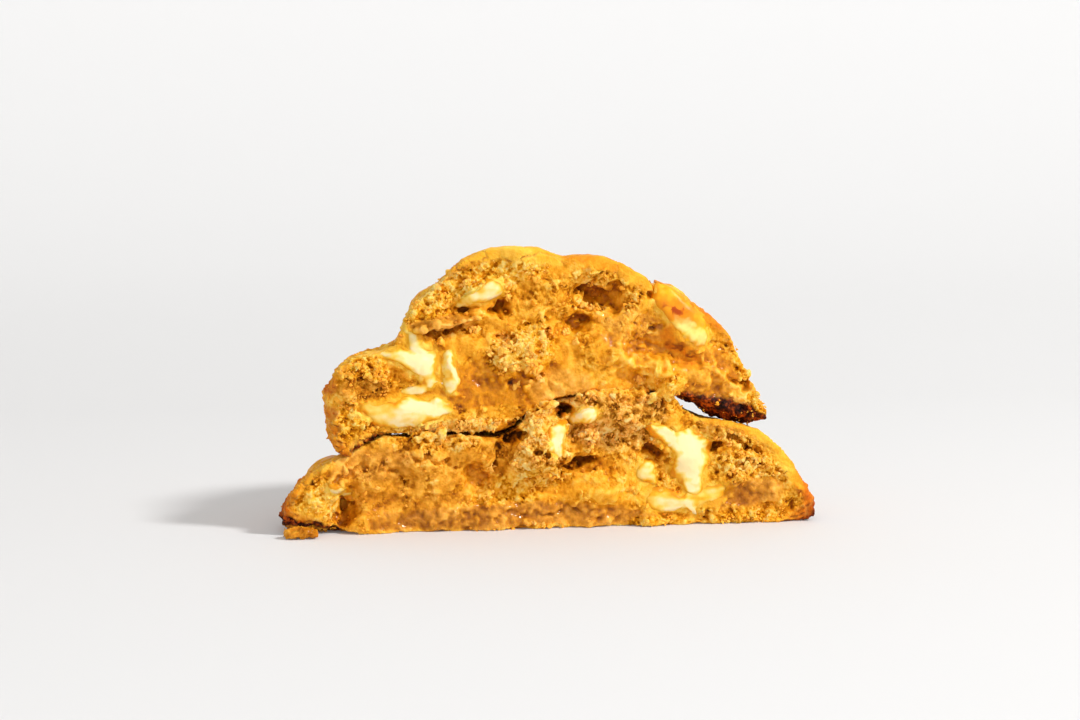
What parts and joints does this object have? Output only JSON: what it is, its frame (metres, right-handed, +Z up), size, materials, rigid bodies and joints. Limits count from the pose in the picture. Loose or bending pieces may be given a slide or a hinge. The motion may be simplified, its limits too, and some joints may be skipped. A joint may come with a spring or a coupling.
{
  "type": "white chocolate cookie",
  "caption": "Thick soft-baked white chocolate cookie broken in two, one half laid on the other with the moist broken faces side by side at the front.",
  "frame": {"origin": "middle of the footprint, on the surface that the lower half rests on", "axes": "+X along the broken faces to the right, -Y out of the broken faces, +Z up"},
  "size_m": [0.1144, 0.058, 0.0596],
  "materials": {
    "crumb": "baked, crumbly, moist inside",
    "white_chocolate": "half melted, soft sheen",
    "toasted_chocolate": "toasted, soft sheen"
  },
  "bodies": {
    "root": {"lower_half": "crumb", "upper_half": "crumb", "fallen_crumb": "crumb", "choc_lower_pool": "white_chocolate", "choc_lower_smear": "white_chocolate", "choc_lower_lump": "white_chocolate", "choc_lower_nub": "white_chocolate", "choc_lower_patch": "white_chocolate", "choc_lower_bead": "white_chocolate", "choc_upper_pool": "white_chocolate", "choc_upper_smear": "white_chocolate", "choc_upper_strip": "white_chocolate", "choc_upper_top": "white_chocolate", "choc_upper_toasted": "toasted_chocolate", "choc_lower_crust_left": "toasted_chocolate", "choc_lower_crust_right": "toasted_chocolate", "choc_lower_crust_back": "toasted_chocolate", "choc_upper_crust_back": "toasted_chocolate", "choc_upper_crust_left": "toasted_chocolate"}
  },
  "joints": []
}
